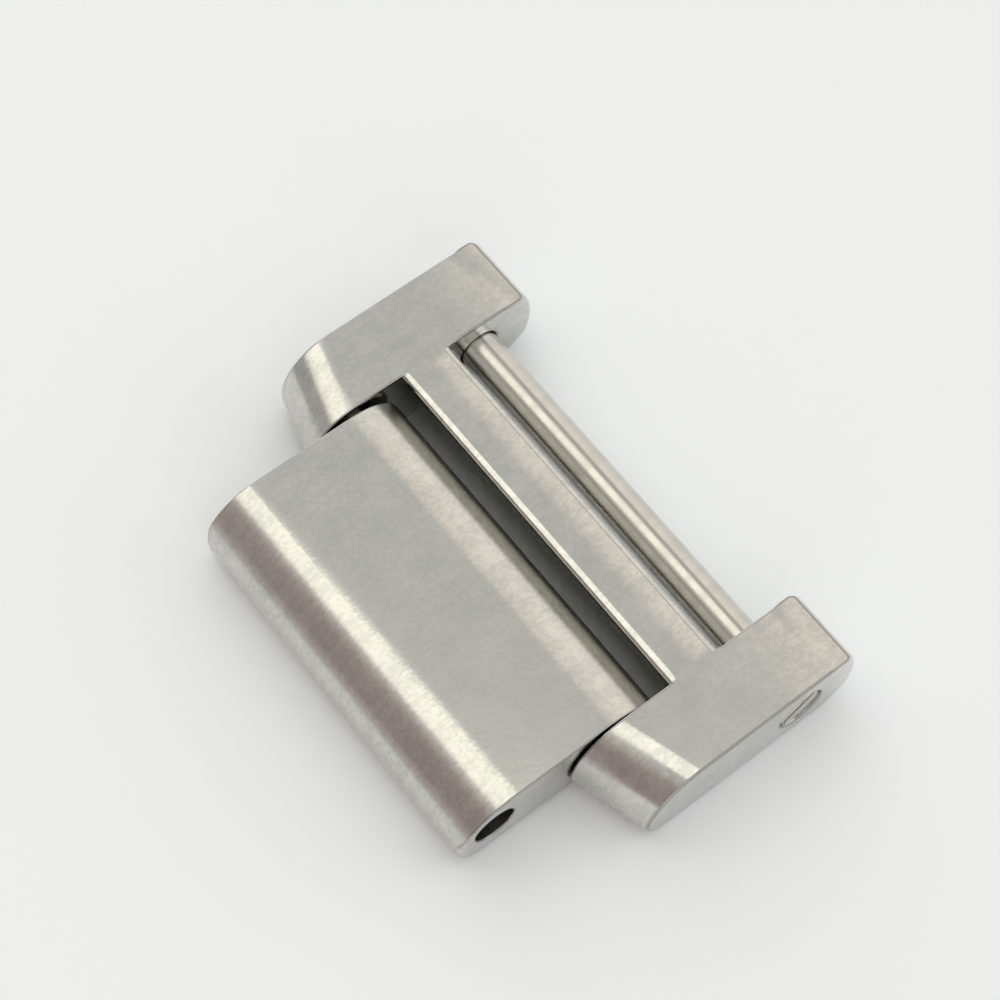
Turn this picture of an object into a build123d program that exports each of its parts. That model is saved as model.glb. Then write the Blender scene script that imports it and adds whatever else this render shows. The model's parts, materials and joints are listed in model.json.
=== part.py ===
"""Articulated link of a watch bracelet.

A one-piece H frame carries the centre link in its front slot, on a pressed hinge pin,
and a slotted screw pin closes its rear slot, where the next link's nose goes.
Millimetres. X runs across the bracelet, +Y towards the screw pin, +Z away from the wrist.
The origin is under the middle of the link, on its underside.
"""
from build123d import *

import os
from math import sqrt

# H frame
link_width = 20.0
bar_width = 2.91
bar_height = 3.1
hinge_to_screw = 5.2
screw_to_rear_corner = 1.91
rear_bulge = 0.48
rear_heel_height = 0.45
rear_heel_length = 0.6
rear_corner_round = 0.2
nose_reach = 2.17
nose_sweep_back = 0.9
nose_top_radius = 2.05
crossbar_wall_to_screw = 1.48
crossbar_thickness = 1.89
crossbar_bevel_run = 0.18
crossbar_bevel_drop = 0.08
crossbar_rear_round = 0.25

# Centre link
centre_thickness = 2.9
hinge_to_nose_bore = 5.2
centre_nose_reach = 1.45
centre_nose_top_radius = 1.9
nose_bore_radius = 0.78
centre_corner_round = 0.3

# Hinge pin, pressed into the bars
hinge_pin_radius = 0.6
hinge_pin_blind_depth = 2.0
pin_end_chamfer = 0.1

# Screw pin
shank_radius = 0.74
shank_seat_depth = 0.7
head_radius = 0.82
head_height = 0.75
head_recess = 0.06
head_edge_break = 0.05
driver_slot_width = 0.28
driver_slot_depth = 0.3
driver_slot_angle = 38
thread_radius = 0.6
thread_length = 1.3
thread_tip_chamfer = 0.12

# Clearances
side_clearance = 0.05
side_play = 0.1
hinge_clearance = 0.03
press_clearance = 0.005
shank_clearance = 0.03
head_clearance = 0.04
thread_clearance = 0.03
blind_end_clearance = 0.1
cut_overrun = 0.5

# Places that follow from the sizes
link_half = link_width / 2
slot_half = link_half - bar_width
screw_to_rear = screw_to_rear_corner + rear_bulge
overall_length = screw_to_rear + hinge_to_screw + hinge_to_nose_bore + centre_nose_reach
screw_y = overall_length / 2 - screw_to_rear
hinge_y = screw_y - hinge_to_screw
nose_bore_y = hinge_y - hinge_to_nose_bore
axis_z = bar_height / 2
centre_right_x = slot_half - side_clearance
centre_left_x = side_clearance + side_play - slot_half


def nose_arcs(front_y, bottom_z, top_z, top_radius):
    """Front of a side outline: a large arc above a smaller one, tangent at the foremost point."""
    bottom_radius = top_z - bottom_z - top_radius
    CenterArc((front_y + top_radius, top_z - top_radius), top_radius, 90, 90)
    CenterArc((front_y + bottom_radius, bottom_z + bottom_radius), bottom_radius, 180, 90)
    return front_y + top_radius, front_y + bottom_radius


def bar_outline(station_x, reach):
    """Side outline of a bar at one station across its width, with a bulged rear and a flat heel."""
    rear_corner_y = screw_y + screw_to_rear_corner
    rear_y = screw_y + screw_to_rear
    rear_radius = (axis_z**2 + rear_bulge**2) / (2 * rear_bulge)
    heel_run = sqrt(rear_radius**2 - (axis_z - rear_heel_height) ** 2)
    heel_y = rear_y - rear_radius + heel_run
    with BuildSketch(Plane.YZ.offset(station_x)) as outline:
        with BuildLine():
            top_y, bottom_y = nose_arcs(hinge_y - reach, 0, bar_height, nose_top_radius)
            Line((bottom_y, 0), (heel_y - rear_heel_length, 0))
            Line((heel_y - rear_heel_length, 0), (heel_y, rear_heel_height))
            ThreePointArc((heel_y, rear_heel_height), (rear_y, axis_z), (rear_corner_y, bar_height))
            Line((rear_corner_y, bar_height), (top_y, bar_height))
        make_face()
    return outline.sketch


# H frame: two swept-nosed bars joined by a crossbar flush with their tops
with BuildPart() as h_frame:
    inner_outline = bar_outline(slot_half, nose_reach)
    outer_outline = bar_outline(link_half, nose_reach - nose_sweep_back)
    loft(sections=[inner_outline, outer_outline], ruled=True)
    inner_face = faces().sort_by(Axis.X)[0]
    outer_face = faces().sort_by(Axis.X)[-1]
    inner_rear_edges = inner_face.edges().sort_by(Axis.Y)[-2:]
    outer_rear_edges = outer_face.edges().sort_by(Axis.Y)[-2:]
    fillet(inner_rear_edges + outer_rear_edges, rear_corner_round)
    mirror(about=Plane.YZ)
    with BuildSketch(Plane.YZ.offset(-slot_half)):
        with BuildLine():
            wall_rear_y = screw_y - crossbar_wall_to_screw
            wall_front_y = wall_rear_y - crossbar_thickness
            Polyline(
                (wall_rear_y, 0),
                (wall_rear_y, bar_height),
                (wall_front_y + crossbar_bevel_run, bar_height),
                (wall_front_y, bar_height - crossbar_bevel_drop),
                (wall_front_y, 0),
                close=True,
            )
        make_face()
        rear_top_corner = vertices().group_by(Axis.Y)[-1].sort_by(Axis.X)[-1]
        fillet(rear_top_corner, crossbar_rear_round)
    extrude(amount=2 * slot_half)
    shank_hole_depth = 2 * slot_half + bar_width + shank_seat_depth
    with Locations(Plane((link_half, screw_y, axis_z), z_dir=(1, 0, 0))):
        CounterBoreHole(
            shank_radius + shank_clearance,
            head_radius + head_clearance,
            head_recess + head_height,
            shank_hole_depth,
        )
        Hole(
            thread_radius + thread_clearance,
            shank_hole_depth + thread_length + blind_end_clearance,
        )
    with Locations(Plane((-link_half, hinge_y, axis_z), z_dir=(-1, 0, 0))):
        Hole(
            hinge_pin_radius + press_clearance,
            bar_width + 2 * slot_half + hinge_pin_blind_depth + blind_end_clearance,
        )
h_frame.part.label = "h_frame"

# Centre link: full round at the hinge, the bars' nose form at its front, corners rounded in plan
with BuildPart() as centre_link:
    centre_half = centre_thickness / 2
    centre_top_z = axis_z + centre_half
    centre_bottom_z = axis_z - centre_half
    centre_front_y = nose_bore_y - centre_nose_reach
    centre_length = hinge_y + centre_half - centre_front_y
    centre_width = centre_right_x - centre_left_x
    with BuildSketch(Plane.YZ.offset(centre_left_x)):
        with BuildLine():
            top_y, bottom_y = nose_arcs(
                centre_front_y,
                centre_bottom_z,
                centre_top_z,
                centre_nose_top_radius,
            )
            Line((bottom_y, centre_bottom_z), (hinge_y, centre_bottom_z))
            CenterArc((hinge_y, axis_z), centre_half, -90, 180)
            Line((hinge_y, centre_top_z), (top_y, centre_top_z))
        make_face()
    extrude(amount=centre_width)
    with BuildSketch(Plane.XY.offset(centre_bottom_z)):
        with Locations((centre_left_x + centre_width / 2, centre_front_y + centre_length / 2)):
            RectangleRounded(centre_width, centre_length, centre_corner_round)
    extrude(amount=centre_thickness, mode=Mode.INTERSECT)
    with BuildSketch(Plane.YZ.offset(centre_left_x)):
        with Locations((hinge_y, axis_z)):
            Circle(hinge_pin_radius + hinge_clearance)
        with Locations((nose_bore_y, axis_z)):
            Circle(nose_bore_radius)
    extrude(amount=centre_width, mode=Mode.SUBTRACT)
centre_link.part.label = "centre_link"

# Hinge pin: flush with the left bar, blind in the right one
with BuildPart() as hinge_pin:
    with BuildSketch(Plane.YZ.offset(-link_half)):
        with Locations((hinge_y, axis_z)):
            Circle(hinge_pin_radius)
    extrude(amount=bar_width + 2 * slot_half + hinge_pin_blind_depth)
    chamfer(edges().filter_by(GeomType.CIRCLE), pin_end_chamfer)
hinge_pin.part.label = "hinge_pin"

# Screw pin: sunk slotted head, smooth shank, threaded end of smaller diameter
with BuildPart() as link_screw:
    head_x = link_half - head_recess
    shoulder_x = head_x - head_height
    shank_end_x = -slot_half - shank_seat_depth + blind_end_clearance
    tip_x = shank_end_x - thread_length
    with BuildSketch(Plane.YZ.offset(shoulder_x)):
        with Locations((screw_y, axis_z)):
            Circle(head_radius)
    extrude(amount=head_height)
    chamfer(edges().filter_by(GeomType.CIRCLE).sort_by(Axis.X)[-1], head_edge_break)
    with BuildSketch(Plane.YZ.offset(shank_end_x)):
        with Locations((screw_y, axis_z)):
            Circle(shank_radius)
    extrude(amount=shoulder_x - shank_end_x)
    with BuildSketch(Plane.YZ.offset(tip_x)):
        with Locations((screw_y, axis_z)):
            Circle(thread_radius)
    extrude(amount=thread_length)
    chamfer(edges().filter_by(GeomType.CIRCLE).sort_by(Axis.X)[0], thread_tip_chamfer)
    with BuildSketch(Plane.YZ.offset(head_x)):
        with Locations((screw_y, axis_z)):
            Rectangle(2 * head_radius + cut_overrun, driver_slot_width, rotation=driver_slot_angle)
    extrude(amount=-driver_slot_depth, mode=Mode.SUBTRACT)
link_screw.part.label = "link_screw"

os.makedirs("parts", exist_ok=True)
export_step(h_frame.part, "parts/h_frame.step")
export_step(centre_link.part, "parts/centre_link.step")
export_step(hinge_pin.part, "parts/hinge_pin.step")
export_step(link_screw.part, "parts/link_screw.step")
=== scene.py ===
import json
from math import pi, radians

import bpy
from mathutils import Matrix, Vector

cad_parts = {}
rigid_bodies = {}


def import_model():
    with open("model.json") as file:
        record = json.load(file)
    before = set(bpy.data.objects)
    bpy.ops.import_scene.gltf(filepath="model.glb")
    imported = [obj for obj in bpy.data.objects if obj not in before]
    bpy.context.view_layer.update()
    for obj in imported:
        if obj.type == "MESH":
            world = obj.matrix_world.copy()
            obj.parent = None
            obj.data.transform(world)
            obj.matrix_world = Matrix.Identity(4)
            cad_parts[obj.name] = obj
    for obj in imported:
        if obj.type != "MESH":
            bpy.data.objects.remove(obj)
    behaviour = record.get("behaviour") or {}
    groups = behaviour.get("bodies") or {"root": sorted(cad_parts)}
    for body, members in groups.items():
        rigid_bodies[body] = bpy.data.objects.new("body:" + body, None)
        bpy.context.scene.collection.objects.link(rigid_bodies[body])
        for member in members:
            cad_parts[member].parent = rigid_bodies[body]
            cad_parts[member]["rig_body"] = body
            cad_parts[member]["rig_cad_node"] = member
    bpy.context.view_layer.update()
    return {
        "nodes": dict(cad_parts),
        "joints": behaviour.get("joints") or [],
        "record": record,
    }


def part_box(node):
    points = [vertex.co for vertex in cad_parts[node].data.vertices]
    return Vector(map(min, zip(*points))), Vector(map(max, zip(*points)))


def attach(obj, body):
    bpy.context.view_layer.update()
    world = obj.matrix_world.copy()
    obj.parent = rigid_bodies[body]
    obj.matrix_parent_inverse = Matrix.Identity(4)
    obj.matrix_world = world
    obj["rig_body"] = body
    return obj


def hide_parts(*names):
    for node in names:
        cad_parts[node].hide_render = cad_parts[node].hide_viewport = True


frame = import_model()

MM = 0.001

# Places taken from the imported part
frame_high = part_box("h_frame")[1]
slab_low, slab_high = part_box("centre_link")
screw_low, screw_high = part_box("link_screw")
mounts = {mount["name"]: mount for mount in frame["record"]["mounts"]}
joints = {joint["name"]: joint for joint in frame["joints"]}
screw_axis = Vector(mounts["rear_clevis"]["pos_m"])
hinge_axis = Vector(joints["centre_hinge"]["pos_m"])

# Edge breaks
FRAME_EDGE_BREAK = 0.09 * MM
SLAB_EDGE_BREAK = 0.06 * MM
SCREW_EDGE_BREAK = 0.02 * MM
EDGE_BREAK_ENDS = (0.05 * MM, 0.13 * MM)
EDGE_BREAK_RUN_OUT = 0.15 * MM

# Crossbar, with its places along Y as distances in front of the screw's axis
SLOT_HALF = 7.09 * MM
CROSSBAR_FRONT_TO_SCREW = 3.37 * MM
CROSSBAR_BEVEL_TO_SCREW = 3.19 * MM
CROSSBAR_REAR_TO_SCREW = 1.48 * MM
CROSSBAR_REAR_ROUND = 0.25 * MM
CROSSBAR_FRONT_SHIFT = 0.03 * MM
CROSSBAR_TOP_SOFTENING = 0.11 * MM
CROSSBAR_WALL_SOFTENING = 0.085 * MM
CROSSBAR_LIP = 0.15 * MM
CROSSBAR_LIP_DROP = 0.8 * MM
# Width of the painted dark shade line at the start of the lip
CROSSBAR_LIP_SHADE_LINE = 0.06 * MM
SHARP_CORNERS_FRONT = 0.12 * MM
SHARP_CORNERS_REAR = 0.3 * MM
CROWN_DROP = 0.045 * MM
CROWN_LENGTH = 0.85 * MM
CROWN_INSET = 0.35 * MM
CROWN_STAYS = 0.3 * MM
CROWN_ROWS = 5

# The bars' rear ends
REAR_TOP_TO_SCREW = 1.91 * MM
REAR_CORNER_ROUND = 0.2 * MM
CRISP_LENGTH = 0.84 * MM
# Width of the painted dark shade line along the rear rim
RIM_WIDTH = 0.085 * MM
ROLL_OFF_DROP = 0.05 * MM
ROLL_OFF_LENGTH = 2.6 * MM
ROLL_OFF_ROWS = 5

# Depth under the frame's top within which points count as part of it
TOP_SKIN = 0.3 * MM

# Centre link. An ease says where a softening begins, is full and ends, in mm past a round's start
SLAB_NOSE_RADIUS = 1.9 * MM
SLAB_NOSE_SOFTENING = 0.1 * MM
SLAB_NOSE_EASE = (-0.5, 1.2, 2.8)
SLAB_REAR_SOFTENING = 0.14 * MM
SLAB_REAR_EASE = (-0.7, 0.95, 2.25)
SLAB_ROWS = 9

# Screw
HEAD_RADIUS = 0.82 * MM
THREAD_PITCH = 0.25 * MM
THREAD_DEPTH = 0.1 * MM
THREAD_RADIUS = 0.6 * MM
THREAD_LENGTH = 1.3 * MM
THREAD_ROOT = 0.03 * MM
THREAD_FOOT_SHARE = 0.9
THREAD_CREST_SHARE = 0.16
THREAD_TURNS = 7
THREAD_STEPS = 40
THREAD_START_GAP = 0.1 * MM
THREAD_END_OVERLAP = 0.02 * MM

# Tolerances: two points that are one, a point on a plane, and a point at or just past it
WELD = 0.0005 * MM
TOUCH = 0.005 * MM
MARGIN = 0.01 * MM

# Angles between faces, in degrees: still one flat, an edge to break, a crease in the shading
FLAT_ANGLE = 0.3
EDGE_ANGLE = 28
CREASE_ANGLE = 40
THREAD_CREASE_ANGLE = 30

# Metal tones
SATIN_DARK = (0.555, 0.56, 0.535, 1)
SATIN_LIGHT = (0.705, 0.69, 0.65, 1)
# Painted shade: the colour of a thin dark line along the bars' rear rim
REAR_RIM_SHADE = (0.36, 0.35, 0.33, 1)
# Painted shade: a dark reflection line along the top of the screw's shank
SHANK_SHADE_LINE = (0.44, 0.43, 0.4, 1)
# Painted shade: the dark inside of the screw's driver slot
SLOT_SHADE = (0.11, 0.105, 0.095, 1)

# Finish: how much of a tone comes from streaks and from clouds, and how deep the marks look
STREAK_SHARE = 0.68
CLOUD_SHARE = 0.32
BRUSH_DEPTH = 0.0015 * MM
TURNING_DEPTH = 0.003 * MM

# Heights and places along Y that the steps below share
frame_top = frame_high.z
skin_low = frame_top - TOP_SKIN
wall_front = screw_axis.y - CROSSBAR_FRONT_TO_SCREW
bevel_top = screw_axis.y - CROSSBAR_BEVEL_TO_SCREW
wall_rear = screw_axis.y - CROSSBAR_REAR_TO_SCREW
round_start = wall_rear - CROSSBAR_REAR_ROUND
lip_start = round_start + CROSSBAR_LIP
crown_start = lip_start - CROWN_LENGTH
crossbar_front = wall_front - SHARP_CORNERS_FRONT
crossbar_rear = wall_rear + SHARP_CORNERS_REAR
rear_edge = screw_axis.y + REAR_TOP_TO_SCREW
rear_end = rear_edge - CRISP_LENGTH
roll_start = rear_edge - ROLL_OFF_LENGTH
slab_top = slab_high.z
slab_half = slab_top - hinge_axis.z
nose_start = slab_low.y + SLAB_NOSE_RADIUS


def clear_selection():
    """Nothing is selected, whatever was before."""
    bpy.ops.object.select_all(action="DESELECT")


def work_on(piece):
    """The piece alone is selected and active."""
    clear_selection()
    piece.select_set(True)
    bpy.context.view_layer.objects.active = piece


def edit(piece):
    """The piece alone is open in edit mode."""
    work_on(piece)
    bpy.ops.object.mode_set(mode="EDIT")


def leave():
    """Back to object mode."""
    bpy.ops.object.mode_set(mode="OBJECT")


def select_these(piece, kind, numbers):
    """In edit mode, only the points, edges or faces with these numbers are selected."""
    edit(piece)
    bpy.ops.mesh.select_mode(type=kind)
    bpy.ops.mesh.select_all(action="DESELECT")
    leave()
    mesh = piece.data
    parts = {"VERT": mesh.vertices, "EDGE": mesh.edges, "FACE": mesh.polygons}[kind]
    for number in numbers:
        parts[number].select = True
    bpy.ops.object.mode_set(mode="EDIT")


def select_where(piece, kind, wanted):
    """Selects the points that pass a test, or the edges or faces whose points all pass."""
    points = piece.data.vertices
    if kind == "VERT":
        numbers = [point.index for point in points if wanted(point.co)]
    else:
        parts = piece.data.edges if kind == "EDGE" else piece.data.polygons
        numbers = [part.index for part in parts if all(wanted(points[i].co) for i in part.vertices)]
    select_these(piece, kind, numbers)


def cut_across(piece, place, normal):
    """A line of edges right round the piece in one plane."""
    edit(piece)
    bpy.ops.mesh.select_all(action="SELECT")
    bpy.ops.mesh.bisect(plane_co=place, plane_no=normal, threshold=WELD)
    leave()


def cut_faces(piece, wanted, place, normal):
    """A line of edges in one plane across those faces alone that pass a test."""
    select_where(piece, "FACE", wanted)
    bpy.ops.mesh.bisect(plane_co=place, plane_no=normal, threshold=WELD)
    leave()


def move_where(piece, wanted, step):
    """The points that pass a test all move by one step."""
    select_where(piece, "VERT", wanted)
    bpy.ops.transform.translate(value=step)
    leave()


def move_rows(piece, wanted, step):
    """Rows of points across the piece that pass a test each move by the step for their place."""
    rows = {}
    for point in piece.data.vertices:
        if wanted(point.co):
            key = (round(point.co.y / MM, 3), round(point.co.z / MM, 3))
            rows.setdefault(key, []).append(point.index)
    for (row_y, row_z), members in rows.items():
        move = step(row_y * MM, row_z * MM)
        if move is not None:
            select_these(piece, "VERT", members)
            bpy.ops.transform.translate(value=move)
            leave()


def eased(value, low, high):
    """0 at low, 1 at high, and soft at both ends."""
    share = min(max((value - low) / (high - low), 0), 1)
    return share * share * (3 - 2 * share)


def merged_copy(node, name):
    """A copy of a CAD node with its loose triangles joined into flat faces."""
    work_on(frame["nodes"][node])
    bpy.ops.object.duplicate()
    piece = bpy.context.active_object
    piece.name = name
    piece.data.name = name
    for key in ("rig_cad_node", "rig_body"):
        if key in piece:
            del piece[key]
    work_on(piece)
    bpy.ops.mesh.customdata_custom_splitnormals_clear()
    bpy.ops.object.mode_set(mode="EDIT")
    bpy.ops.mesh.select_all(action="SELECT")
    bpy.ops.mesh.remove_doubles(threshold=WELD)
    bpy.ops.mesh.dissolve_limited(angle_limit=radians(FLAT_ANGLE))
    leave()
    return piece


def select_sharp(piece, angle):
    """In edit mode, the edges sharper than an angle are selected, and nothing else is."""
    edit(piece)
    bpy.ops.mesh.select_mode(type="EDGE")
    bpy.ops.mesh.select_all(action="DESELECT")
    bpy.ops.mesh.edges_select_sharp(sharpness=radians(angle))


def break_edges(piece, width, stays_crisp=lambda first, second: False):
    """Sharp edges get a small round in the second material, but for those that stay crisp."""
    select_sharp(piece, EDGE_ANGLE)
    leave()
    points = piece.data.vertices
    chosen = [
        edge.index
        for edge in piece.data.edges
        if edge.select and not stays_crisp(*(points[i].co for i in edge.vertices))
    ]
    select_these(piece, "EDGE", chosen)
    bpy.ops.mesh.bevel(
        offset=width, segments=2, profile=0.5, affect="EDGES", clamp_overlap=False, material=1
    )
    bpy.ops.mesh.select_mode(type="VERT")
    leave()
    bpy.ops.object.shade_smooth()
    select_sharp(piece, CREASE_ANGLE)
    bpy.ops.mesh.mark_sharp()
    leave()
    flats = piece.modifiers.new("flat shading", "WEIGHTED_NORMAL")
    flats.mode = "FACE_AREA"
    flats.weight = 60
    flats.keep_sharp = True
    bpy.ops.object.modifier_apply(modifier=flats.name)


def finish_with(piece, *materials):
    """The piece takes these materials in this order."""
    piece.data.materials.clear()
    for material in materials:
        piece.data.materials.append(material)


def new_material(name):
    """A metal with nothing yet linked to its Principled shader."""
    material = bpy.data.materials.new(name)
    material.use_nodes = True
    shader = material.node_tree.nodes["Principled BSDF"]
    shader.inputs["Metallic"].default_value = 1
    return material, material.node_tree, shader


def new_group(name, inputs, outputs):
    """A shader group with named number or vector inputs and number outputs."""
    group = bpy.data.node_groups.new(name, "ShaderNodeTree")
    for label, kind, value in inputs:
        socket = group.interface.new_socket(name=label, in_out="INPUT", socket_type=kind)
        socket.default_value = value
    for label in outputs:
        group.interface.new_socket(name=label, in_out="OUTPUT", socket_type="NodeSocketFloat")
    return group, group.nodes.new("NodeGroupInput"), group.nodes.new("NodeGroupOutput")


def add(tree, kind, **settings):
    """A node with its settings and unlinked input values."""
    node = tree.nodes.new(kind)
    for key, value in settings.items():
        if hasattr(node, key):
            setattr(node, key, value)
        else:
            node.inputs[key.replace("_", " ")].default_value = value
    return node


def feed(tree, value, socket):
    """An input gets a link from an output, or a plain value."""
    if isinstance(value, bpy.types.NodeSocket):
        tree.links.new(value, socket)
    else:
        socket.default_value = value


def mapped(tree, source, low, high, to_low=0, to_high=1, smooth=True):
    """A value carried from one range to another and held at its ends."""
    node = add(tree, "ShaderNodeMapRange", interpolation_type="SMOOTHSTEP" if smooth else "LINEAR")
    feed(tree, source, node.inputs["Value"])
    ends = {"From Min": low, "From Max": high, "To Min": to_low, "To Max": to_high}
    for label, value in ends.items():
        feed(tree, value, node.inputs[label])
    return node.outputs["Result"]


def combined(tree, operation, first, *others):
    """Values put together in turn, or an operation on one alone. Each may be a plain number."""
    for other in others or (0,):
        node = add(tree, "ShaderNodeMath", operation=operation)
        feed(tree, first, node.inputs[0])
        feed(tree, other, node.inputs[1])
        first = node.outputs["Value"]
    return first


def arrows(tree, operation, *values):
    """An operation on places or directions."""
    node = add(tree, "ShaderNodeVectorMath", operation=operation)
    for value, socket in zip(values, node.inputs):
        feed(tree, value, socket)
    return node.outputs["Value" if operation == "LENGTH" else "Vector"]


def blended(tree, mask, first, second, kind="RGBA"):
    """The first colour or number where the mask is 0 and the second where it is 1."""
    node = add(tree, "ShaderNodeMix", data_type=kind)
    for label, value in (("Factor", mask), ("A", first), ("B", second)):
        feed(tree, value, node.inputs[label])
    return node.outputs["Result"]


def spot_on_part(tree):
    """The place on the part, in its own axes."""
    return add(tree, "ShaderNodeTexCoord").outputs["Object"]


def parts_of(tree, vector):
    """The X, Y and Z of a place or direction."""
    node = add(tree, "ShaderNodeSeparateXYZ")
    feed(tree, vector, node.inputs["Vector"])
    return node.outputs["X"], node.outputs["Y"], node.outputs["Z"]


def off_axis(tree, centred):
    """How far a place is from an axis along X through the origin."""
    return arrows(tree, "LENGTH", arrows(tree, "MULTIPLY", centred, (0, 1, 1)))


# Brush grain: lines along the bracelet, round its noses too, and cloudy patches between them
grain, grain_in, grain_out = new_group(
    "brush_grain",
    [("Shift", "NodeSocketVector", (0, 0, 0))],
    ["Height", "Streaks", "Clouds"],
)
surface = add(grain, "ShaderNodeTexCoord")
shifted = arrows(grain, "ADD", surface.outputs["Object"], grain_in.outputs["Shift"])
sideways = combined(grain, "ABSOLUTE", parts_of(grain, surface.outputs["Normal"])[0])
on_side = mapped(grain, sideways, 0.55, 0.8)


def lines(across, along, seed):
    """Noise drawn out along the bracelet, on the flats and noses and turned for the sides."""
    results = []
    for scale in ((across, along, along), (along, along, across)):
        spread = add(
            grain, "ShaderNodeMapping", Scale=scale, Location=(seed, seed * 0.7, seed * 1.3)
        )
        feed(grain, shifted, spread.inputs["Vector"])
        noise = add(grain, "ShaderNodeTexNoise", Scale=1, Detail=1, Roughness=0.6)
        feed(grain, spread.outputs["Vector"], noise.inputs["Vector"])
        results.append(noise.outputs["Fac"])
    return blended(grain, on_side, *results, kind="FLOAT")


hair_lines = lines(across=8500, along=5000, seed=3.1)
dashes = lines(across=6500, along=3500, seed=7.7)
broad_lines = lines(across=2500, along=800, seed=12.3)
height = combined(grain, "ADD", combined(grain, "MULTIPLY", hair_lines, 0.5), dashes)
streak_sum = combined(
    grain,
    "ADD",
    combined(grain, "MULTIPLY", hair_lines, 0.6),
    combined(grain, "MULTIPLY", broad_lines, 0.4),
)
cloud = add(grain, "ShaderNodeTexNoise", Scale=700, Detail=4, Roughness=0.55)
feed(grain, shifted, cloud.inputs["Vector"])
feed(grain, height, grain_out.inputs["Height"])
feed(grain, mapped(grain, streak_sum, 0.36, 0.64), grain_out.inputs["Streaks"])
feed(grain, mapped(grain, cloud.outputs["Fac"], 0.3, 0.7), grain_out.inputs["Clouds"])

# Turning marks: rings about an axis along X, on the round and on the end faces alike
rings, rings_in, rings_out = new_group(
    "turning_marks",
    [("Axis", "NodeSocketVector", (0, 0, 0)), ("Fineness", "NodeSocketFloat", 9000)],
    ["Height", "Bands"],
)
from_centre = arrows(rings, "SUBTRACT", spot_on_part(rings), rings_in.outputs["Axis"])
travel = combined(rings, "ADD", parts_of(rings, from_centre)[0], off_axis(rings, from_centre))
marks = add(rings, "ShaderNodeTexNoise", noise_dimensions="1D", Scale=1, Detail=3, Roughness=0.65)
feed(rings, combined(rings, "MULTIPLY", travel, rings_in.outputs["Fineness"]), marks.inputs["W"])
bands = add(rings, "ShaderNodeTexNoise", noise_dimensions="1D", Scale=1400, Detail=2)
feed(rings, travel, bands.inputs["W"])
feed(rings, marks.outputs["Fac"], rings_out.inputs["Height"])
feed(rings, mapped(rings, bands.outputs["Fac"], 0.35, 0.65), rings_out.inputs["Bands"])


def rear_rim_shade(tree):
    """1 in a thin line of painted shade along the rim of the bars' rear ends, round their corners
    too.
    """
    x, y, z = parts_of(tree, spot_on_part(tree))
    across = combined(tree, "ABSOLUTE", x)
    from_outer = combined(tree, "SUBTRACT", frame_high.x, across)
    from_inner = combined(tree, "SUBTRACT", across, SLOT_HALF)
    from_side = combined(tree, "MINIMUM", from_outer, from_inner)
    from_rear = combined(tree, "SUBTRACT", rear_edge, y)
    legs = []
    for gap in (from_side, from_rear):
        into_corner = combined(tree, "SUBTRACT", REAR_CORNER_ROUND, gap)
        legs.append(combined(tree, "POWER", combined(tree, "MAXIMUM", into_corner, 0), 2))
    from_corner_centre = combined(tree, "SQRT", combined(tree, "ADD", *legs))
    inset = combined(tree, "SUBTRACT", REAR_CORNER_ROUND, from_corner_centre)
    near_rim = mapped(tree, inset, RIM_WIDTH, 0.4 * RIM_WIDTH)
    at_rear = mapped(tree, y, rear_end - 0.1 * MM, rear_end)
    at_top = mapped(tree, z, frame_top - 0.14 * MM, frame_top - 0.1 * MM)
    return combined(tree, "MULTIPLY", at_rear, at_top, near_rim)


def satin_steel(name, dark, light, shift, rough=(0.11, 0.16), rim=None, dulled=()):
    """Brushed steel between two tones, rougher in its deeper lines.

    rim is the colour of a painted dark line of shade along the rim at the rear. dulled lists the
    rounds whose finish is duller:
    the place along Y where that begins, where it is full, and how rough it is there.
    """
    material, tree, shader = new_material(name)
    brush = add(tree, "ShaderNodeGroup", node_tree=grain)
    brush.inputs["Shift"].default_value = shift
    streaks, clouds = brush.outputs["Streaks"], brush.outputs["Clouds"]
    tone = combined(
        tree,
        "ADD",
        combined(tree, "MULTIPLY", streaks, STREAK_SHARE),
        combined(tree, "MULTIPLY", clouds, CLOUD_SHARE),
    )
    colour = blended(tree, tone, dark, light)
    if rim:
        colour = blended(tree, rear_rim_shade(tree), colour, rim)
    feed(tree, colour, shader.inputs["Base Color"])
    roughness = mapped(tree, streaks, 0, 1, rough[1], rough[0], smooth=False)
    for begin, full, dullness in dulled:
        along = parts_of(tree, spot_on_part(tree))[1]
        dull = mapped(tree, along, begin, full, 0, dullness)
        roughness = combined(tree, "MAXIMUM", roughness, dull)
    feed(tree, roughness, shader.inputs["Roughness"])
    bump = add(tree, "ShaderNodeBump", Strength=1, Distance=BRUSH_DEPTH)
    feed(tree, brush.outputs["Height"], bump.inputs["Height"])
    feed(tree, bump.outputs["Normal"], shader.inputs["Normal"])
    return material


def screw_painted_shade(tree):
    """Masks for painted shade in the driver slot and for a painted dark reflection line along the
    top of the shank.
    """
    spot = spot_on_part(tree)
    x, y, z = parts_of(tree, spot)
    from_axis = off_axis(tree, arrows(tree, "SUBTRACT", spot, screw_axis))
    head_face = screw_high.x
    slot_shade = combined(
        tree,
        "MULTIPLY",
        mapped(tree, x, head_face - 0.03 * MM, head_face - 0.06 * MM),
        mapped(tree, x, head_face - 0.5 * MM, head_face - 0.4 * MM),
        mapped(tree, from_axis, HEAD_RADIUS - 0.02 * MM, HEAD_RADIUS - 0.05 * MM),
    )
    from_line = combined(tree, "ABSOLUTE", combined(tree, "SUBTRACT", y, screw_axis.y + 0.03 * MM))
    line = combined(
        tree,
        "MULTIPLY",
        mapped(tree, from_line, 0.09 * MM, 0.03 * MM),
        mapped(tree, z, screw_axis.z, screw_axis.z + 0.3 * MM),
    )
    return slot_shade, line


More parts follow.
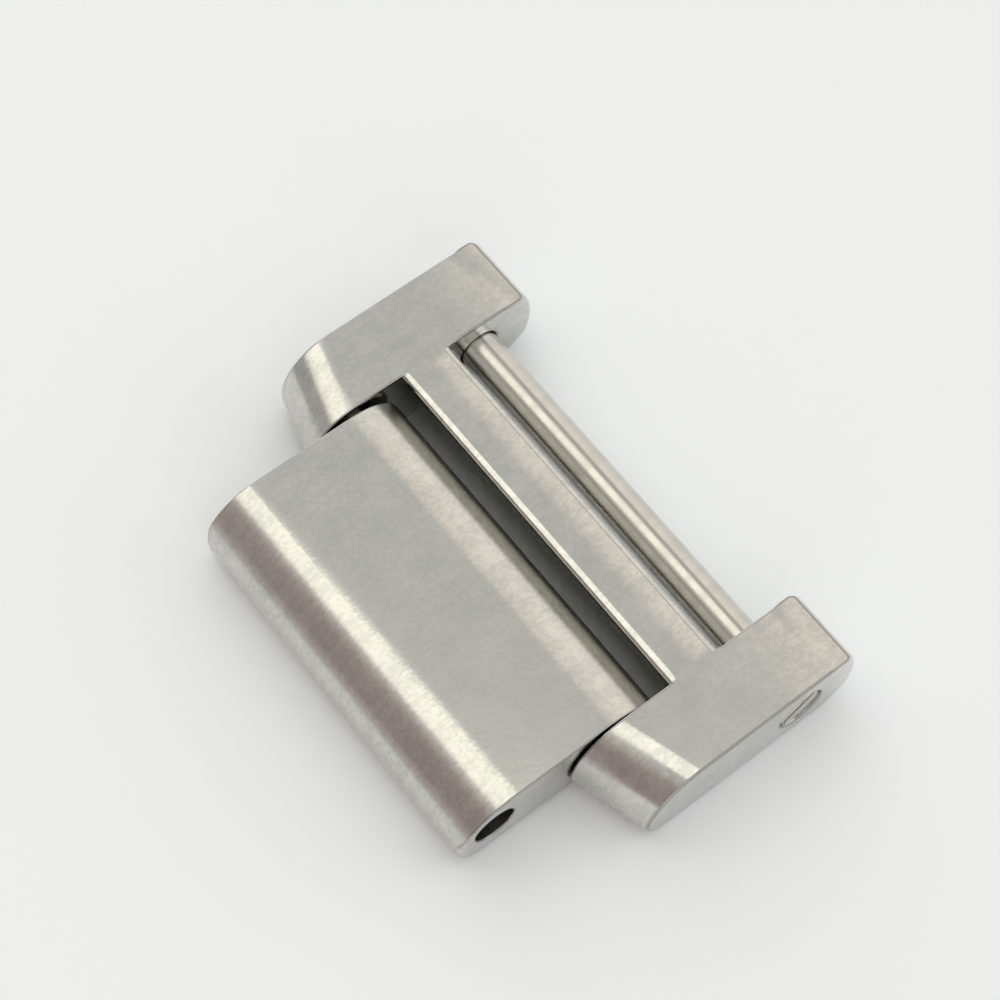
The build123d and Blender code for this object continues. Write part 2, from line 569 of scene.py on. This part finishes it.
def turned_steel(name, dark, light, axis, fineness, rough=(0.16, 0.3), painted_shade=False):
    """Steel with the rings that a lathe leaves, and with painted shade in the driver slot and a
    painted dark reflection line on the shank if asked.
    """
    material, tree, shader = new_material(name)
    turning = add(tree, "ShaderNodeGroup", node_tree=rings)
    turning.inputs["Axis"].default_value = axis
    turning.inputs["Fineness"].default_value = fineness
    colour = blended(tree, turning.outputs["Bands"], dark, light)
    roughness = mapped(tree, turning.outputs["Bands"], 0, 1, rough[1], rough[0], smooth=False)
    if painted_shade:
        # Painted shade in the driver slot and a painted dark reflection line along the shank
        slot_shade, line = screw_painted_shade(tree)
        colour = blended(tree, line, colour, SHANK_SHADE_LINE)
        colour = blended(tree, slot_shade, colour, SLOT_SHADE)
        roughness = combined(tree, "MAXIMUM", roughness, combined(tree, "MULTIPLY", slot_shade, 0.5))
    feed(tree, colour, shader.inputs["Base Color"])
    feed(tree, roughness, shader.inputs["Roughness"])
    bump = add(tree, "ShaderNodeBump", Strength=1, Distance=TURNING_DEPTH)
    feed(tree, turning.outputs["Height"], bump.inputs["Height"])
    feed(tree, bump.outputs["Normal"], shader.inputs["Normal"])
    return material


# The frame's steel carries a painted dark line of shade along the bars' rear rim
frame_satin = satin_steel(
    "frame_satin",
    SATIN_DARK,
    SATIN_LIGHT,
    (0, 0, 0),
    rim=REAR_RIM_SHADE,
    dulled=(
        (hinge_axis.y + 0.2 * MM, hinge_axis.y - 0.2 * MM, 0.21),
        (hinge_axis.y - 0.8 * MM, hinge_axis.y - 1.5 * MM, 0.32),
    ),
)
# Darker steel for the frame's edge breaks: painted shade for thin dark outlines along the edges
frame_edge_painted_shade = satin_steel(
    "frame_edge_painted_shade", (0.36, 0.352, 0.338, 1), (0.43, 0.42, 0.4, 1), (0.01, 0, 0), rough=(0.2, 0.3)
)
slab_satin = satin_steel(
    "slab_satin",
    SATIN_DARK,
    SATIN_LIGHT,
    (0.031, 0.02, 0),
    dulled=(
        (nose_start + 0.3 * MM, nose_start - 0.1 * MM, 0.2),
        (nose_start - 1.0 * MM, nose_start - 1.5 * MM, 0.32),
        (hinge_axis.y + 0.25 * MM, hinge_axis.y + 0.6 * MM, 0.3),
    ),
)
# Darker steel for the slab's edge breaks: painted shade for thin dark outlines along the edges
slab_edge_painted_shade = satin_steel(
    "slab_edge_painted_shade", (0.38, 0.372, 0.358, 1), (0.45, 0.44, 0.42, 1), (0.05, 0, 0), rough=(0.2, 0.3)
)
screw_turned = turned_steel(
    "screw_turned",
    (0.6, 0.585, 0.54, 1),
    (0.65, 0.635, 0.59, 1),
    screw_axis,
    9000,
    rough=(0.18, 0.25),
    painted_shade=True,
)
hinge_turned = turned_steel(
    "hinge_turned", (0.54, 0.53, 0.51, 1), (0.64, 0.63, 0.61, 1), hinge_axis, 12000
)


def on_crossbar(point):
    """Within the crossbar's width, its ends on the bars included."""
    return abs(point.x) < SLOT_HALF + TOUCH


def crisp_on_frame(first, second):
    """The crossbar's own edges, its corners with the bars, and the bars' rounded rear ends."""
    at_crossbar = all(
        on_crossbar(end) and crossbar_front < end.y < crossbar_rear for end in (first, second)
    )
    return at_crossbar or max(first.y, second.y) > rear_end + TOUCH


# H frame: the CAD shape, cut where its worn forms begin and end
frame_body = merged_copy("h_frame", "frame_body")
finish_with(frame_body, frame_satin, frame_edge_painted_shade)
for cut_y in (crossbar_front, crossbar_rear - MARGIN, rear_end):
    cut_across(frame_body, (0, cut_y, 0), (0, 1, 0))
for cut_x in (SLOT_HALF, -SLOT_HALF):
    cut_across(frame_body, (cut_x, 0, 0), (1, 0, 0))

# The crossbar's front edge is one soft round, a little further back than the bevel
move_where(
    frame_body,
    lambda point: on_crossbar(point) and wall_front - MARGIN < point.y < bevel_top + MARGIN,
    (0, CROSSBAR_FRONT_SHIFT, 0),
)
for edge_y, edge_low, softening in (
    (bevel_top, frame_top - MARGIN, CROSSBAR_TOP_SOFTENING),
    (wall_front, frame_top - 0.1 * MM, CROSSBAR_WALL_SOFTENING),
):
    select_where(
        frame_body,
        "EDGE",
        lambda point: on_crossbar(point)
        and abs(point.y - edge_y - CROSSBAR_FRONT_SHIFT) < TOUCH
        and point.z > edge_low,
    )
    bpy.ops.mesh.bevel(
        offset=softening, segments=4, profile=0.5, affect="EDGES", clamp_overlap=False
    )
    leave()

# Its rear top edge stands out a little as a lip, well above the place of the next link's nose
lip_low = frame_top - CROSSBAR_LIP_DROP
cut_faces(
    frame_body,
    lambda point: on_crossbar(point) and abs(point.y - wall_rear) < MARGIN,
    (0, 0, lip_low),
    (0, 0, 1),
)
move_where(
    frame_body,
    lambda point: on_crossbar(point)
    and round_start - MARGIN < point.y < wall_rear + MARGIN
    and point.z > lip_low + MARGIN,
    (0, CROSSBAR_LIP, 0),
)

# The crossbar's top rolls off towards its rear edge, but for a short length at each end
for side in (-1, 1):
    cut_faces(
        frame_body,
        lambda point: on_crossbar(point) and bevel_top < point.y and point.z > skin_low,
        (side * (SLOT_HALF - CROWN_INSET), 0, 0),
        (1, 0, 0),
    )
for row in range(CROWN_ROWS):
    cut_faces(
        frame_body,
        lambda point: on_crossbar(point) and bevel_top < point.y and point.z > frame_top - TOUCH,
        (0, crown_start + row * CROWN_LENGTH / CROWN_ROWS, 0),
        (0, 1, 0),
    )


def crown_step(y, z):
    """The drop is full on the top and fades out down the rear round."""
    share = min((y - crown_start) / CROWN_LENGTH, 1) ** 2
    fade = 1 - min((frame_top - z) / CROSSBAR_REAR_ROUND, 1)
    return (0, 0, -CROWN_DROP * share * fade)


move_rows(
    frame_body,
    lambda point: abs(point.x) < SLOT_HALF - CROWN_STAYS
    and crown_start < point.y < lip_start + CROSSBAR_REAR_ROUND
    and point.z > frame_top - CROSSBAR_REAR_ROUND + MARGIN,
    crown_step,
)

# So do the bars' tops, over a longer way
for row in range(ROLL_OFF_ROWS):
    cut_faces(
        frame_body,
        lambda point: point.y > wall_rear and point.z > frame_top - TOUCH,
        (0, roll_start + row * (rear_end - roll_start) / ROLL_OFF_ROWS, 0),
        (0, 1, 0),
    )


def roll_off_step(y, z):
    """The drop is full on the top and fades out within the skin just under it."""
    share = min((y - roll_start) / ROLL_OFF_LENGTH, 1) ** 1.6
    fade = 1 - (frame_top - z) / TOP_SKIN
    return (0, 0, -ROLL_OFF_DROP * share * fade)


move_rows(
    frame_body,
    lambda point: point.y > roll_start and point.z > skin_low,
    roll_off_step,
)

# The edge breaks, which run out slowly on top towards the crisp rear ends
break_edges(frame_body, FRAME_EDGE_BREAK, crisp_on_frame)
move_where(
    frame_body,
    lambda point: rear_end + EDGE_BREAK_ENDS[0] < point.y < rear_end + EDGE_BREAK_ENDS[1]
    and point.z > skin_low,
    (0, EDGE_BREAK_RUN_OUT, 0),
)

# A thin line of painted shade, standing in for a dark reflection, marks the start of the lip
select_where(
    frame_body,
    "FACE",
    lambda point: on_crossbar(point)
    and lip_start - MARGIN < point.y < lip_start + CROSSBAR_LIP_SHADE_LINE,
)
frame_body.active_material_index = 1
bpy.ops.object.material_slot_assign()
leave()
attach(frame_body, "frame")
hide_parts("h_frame")

# Centre link: the CAD shape, its top run softly into the rounds of the nose and of the hinge
centre_slab = merged_copy("centre_link", "centre_slab")
finish_with(centre_slab, slab_satin, slab_edge_painted_shade)
for row in range(SLAB_ROWS):
    for start, step in (
        (hinge_axis.y - 0.8 * MM, 0.1 * MM),
        (nose_start + 0.6 * MM, -0.075 * MM),
    ):
        cut_faces(
            centre_slab,
            lambda point: point.z > slab_top - TOUCH,
            (0, start + row * step, 0),
            (0, 1, 0),
        )


def softened(y, z):
    """The way inwards for a point of the slab's upper skin, or None below and off the skin."""
    if y > (hinge_axis.y + nose_start) / 2:
        depth, (begin, full, end) = SLAB_REAR_SOFTENING, SLAB_REAR_EASE
        radius, round_y, past_start = slab_half, hinge_axis.y, y - hinge_axis.y
    else:
        depth, (begin, full, end) = SLAB_NOSE_SOFTENING, SLAB_NOSE_EASE
        radius, round_y, past_start = SLAB_NOSE_RADIUS, nose_start, nose_start - y
    if past_start > 0:
        reach = Vector((y - round_y, z - slab_top + radius))
        if abs(reach.length - radius) > MARGIN or reach.y < 0:
            return None
        travel = radius * abs(reach.angle_signed(Vector((0, 1))))
    else:
        reach = Vector((0, 1))
        if z < slab_top - TOUCH:
            return None
        travel = past_start
    travel /= MM
    share = eased(travel, begin, full) * (1 - eased(travel, full, end))
    inwards = -depth * share * reach.normalized()
    return (0, inwards.x, inwards.y)


move_rows(centre_slab, lambda point: point.z > slab_top - SLAB_NOSE_RADIUS, softened)
break_edges(centre_slab, SLAB_EDGE_BREAK)
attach(centre_slab, "centre")
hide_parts("centre_link")

# Hinge pin: the CAD node with its own finish
finish_with(frame["nodes"]["hinge_pin"], hinge_turned)

# Screw pin: the CAD shape with the thread's core turned down
screw_pin = merged_copy("link_screw", "screw_pin")
finish_with(screw_pin, screw_turned)
thread_end = screw_low.x + THREAD_LENGTH
select_where(
    screw_pin,
    "VERT",
    lambda point: point.x < thread_end + MARGIN
    and Vector((point.y - screw_axis.y, point.z - screw_axis.z)).length < THREAD_RADIUS + MARGIN,
)
core_share = (THREAD_RADIUS - THREAD_DEPTH) / THREAD_RADIUS
bpy.ops.transform.resize(
    value=(1, core_share, core_share), center_override=(screw_low.x, screw_axis.y, screw_axis.z)
)
leave()
break_edges(screw_pin, SCREW_EDGE_BREAK)
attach(screw_pin, "screw")
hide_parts("link_screw")

# Thread ridge: a blunt profile wound about the screw's axis, then cut square at both ends
clear_selection()
bpy.ops.mesh.primitive_plane_add(size=1, location=(0, 0, 0))
screw_thread = bpy.context.active_object
screw_thread.name = "screw_thread"
screw_thread.data.name = "screw_thread"
ridge_height = THREAD_DEPTH + THREAD_ROOT
edit(screw_thread)
bpy.ops.mesh.select_all(action="SELECT")
bpy.ops.transform.resize(
    value=(THREAD_FOOT_SHARE * THREAD_PITCH, ridge_height, 1), center_override=(0, 0, 0)
)
bpy.ops.transform.translate(value=(0, THREAD_RADIUS - ridge_height / 2, 0))
leave()
select_where(screw_thread, "VERT", lambda point: point.y > THREAD_RADIUS - 0.001 * MM)
bpy.ops.transform.resize(value=(THREAD_CREST_SHARE, 1, 1), center_override=(0, THREAD_RADIUS, 0))
bpy.ops.mesh.select_all(action="SELECT")
bpy.ops.mesh.delete(type="ONLY_FACE")
leave()
winding = screw_thread.modifiers.new("winding", "SCREW")
winding.axis = "X"
winding.screw_offset = THREAD_PITCH
winding.iterations = THREAD_TURNS
winding.steps = THREAD_STEPS
winding.render_steps = THREAD_STEPS
bpy.ops.object.modifier_apply(modifier=winding.name)
screw_thread.location = (screw_low.x - 0.6 * THREAD_PITCH, screw_axis.y, screw_axis.z)
bpy.ops.object.transform_apply(location=True, rotation=True, scale=True)
edit(screw_thread)
for end_x, side in (
    (screw_low.x + THREAD_START_GAP, {"clear_inner": True}),
    (thread_end + THREAD_END_OVERLAP, {"clear_outer": True}),
):
    bpy.ops.mesh.select_all(action="SELECT")
    bpy.ops.mesh.bisect(plane_co=(end_x, 0, 0), plane_no=(1, 0, 0), use_fill=True, **side)
bpy.ops.mesh.select_all(action="SELECT")
bpy.ops.mesh.normals_make_consistent(inside=False)
leave()
bpy.ops.object.shade_smooth_by_angle(angle=radians(THREAD_CREASE_ANGLE))
finish_with(screw_thread, screw_turned)
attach(screw_thread, "screw")

# Floor
clear_selection()
bpy.ops.mesh.primitive_plane_add(size=6, location=(0, 0, 0))
floor = bpy.context.active_object
floor.name = "floor"
paper = bpy.data.materials.new("floor_paper")
paper.use_nodes = True
paper_shader = paper.node_tree.nodes["Principled BSDF"]
paper_shader.inputs["Base Color"].default_value = (0.94, 0.965, 0.985, 1)
paper_shader.inputs["Roughness"].default_value = 0.8
paper_shader.inputs["Specular IOR Level"].default_value = 0.2
floor.data.materials.append(paper)

# Room light: grey overhead, bright behind and dark reddish in front, with a few patches over that
world = bpy.data.worlds.new("room")
bpy.context.scene.world = world
world.use_nodes = True
room = world.node_tree
room.nodes.clear()
output = add(room, "ShaderNodeOutputWorld")
background = add(room, "ShaderNodeBackground")
feed(room, background.outputs["Background"], output.inputs["Surface"])
heading = dict(zip("XYZ", parts_of(room, add(room, "ShaderNodeTexCoord").outputs["Generated"])))
front_to_back = (
    (-1.0, (0.37, 0.29, 0.28, 1)),
    (-0.85, (0.36, 0.3, 0.29, 1)),
    (-0.66, (0.4, 0.34, 0.32, 1)),
    (-0.5, (0.6, 0.55, 0.51, 1)),
    (-0.42, (0.64, 0.63, 0.61, 1)),
    (0.34, (0.65, 0.66, 0.64, 1)),
    (0.385, (0.89, 0.83, 0.77, 1)),
    (0.5, (1.0, 0.95, 0.88, 1)),
    (0.7, (1.06, 1.01, 0.94, 1)),
    (0.86, (1.0, 0.96, 0.9, 1)),
    (1.0, (0.85, 0.83, 0.79, 1)),
)
sweep = add(room, "ShaderNodeValToRGB")
feed(room, mapped(room, heading["Y"], -1, 1, smooth=False), sweep.inputs["Fac"])
while len(sweep.color_ramp.elements) < len(front_to_back):
    sweep.color_ramp.elements.new(0.5)
for element, (along, colour) in zip(sweep.color_ramp.elements, front_to_back):
    element.position = (along + 1) / 2
    element.color = colour


def patch(*limits):
    """1 where each direction has passed from its first value to its second."""
    masks = [mapped(room, heading[axis], first, second) for axis, first, second in limits]
    return combined(room, "MULTIPLY", *masks) if len(masks) > 1 else masks[0]


front_left = patch(("X", -0.3, -0.65), ("Y", -0.3, -0.6))
right = patch(("X", 0.3, 0.55))
behind = combined(
    room,
    "MAXIMUM",
    patch(("X", 0.08, 0.25), ("Y", 0.42, 0.55)),
    patch(("X", -0.5, -0.62), ("Y", -0.15, 0.1)),
)
doorway = patch(("X", 0.45, 0.6), ("Z", 0.9, 0.75), ("Y", 0, 0.15), ("Y", 0.6, 0.45))
sky = sweep.outputs["Color"]
for mask, colour in (
    (front_left, (0.45, 0.45, 0.43, 1)),
    (right, (0.95, 0.94, 0.92, 1)),
    (behind, (1.4, 1.44, 1.5, 1)),
    (doorway, (0.26, 0.25, 0.235, 1)),
):
    sky = blended(room, mask, sky, colour)
feed(room, sky, background.inputs["Color"])

# One large soft panel overhead, a little in front and to the left
lamp = bpy.data.lights.new("soft_panel", "AREA")
lamp.shape = "RECTANGLE"
lamp.size = 0.85
lamp.size_y = 0.255
lamp.energy = 0.558
lamp.color = (1, 0.96, 0.8)
panel = bpy.data.objects.new("soft_panel", lamp)
panel.location = (-0.3296, -0.1813, 0.5)
panel.rotation_euler = (0, 0, radians(33))
bpy.context.scene.collection.objects.link(panel)

# Camera at the photo's angle
camera_data = bpy.data.cameras.new("camera")
camera = bpy.data.objects.new("camera", camera_data)
bpy.context.scene.collection.objects.link(camera)
bpy.context.scene.camera = camera
camera_data.lens = 87.84
camera_data.sensor_width = 36
camera_data.shift_x = 0.0031
camera_data.clip_start = 0.005
camera_data.clip_end = 10
look_at = Vector((-1.45, 1.02, 3.1)) * MM
distance = 81.12 * MM
azimuth, elevation, roll = radians(48.03), radians(63.37), radians(4.22)
turn = (
    Matrix.Rotation(azimuth, 3, "Z")
    @ Matrix.Rotation(pi / 2 - elevation, 3, "X")
    @ Matrix.Rotation(roll, 3, "Z")
)
camera.matrix_world = Matrix.Translation(look_at + turn @ Vector((0, 0, distance))) @ turn.to_4x4()

# Colours on the screen
bpy.context.scene.view_settings.view_transform = "Standard"
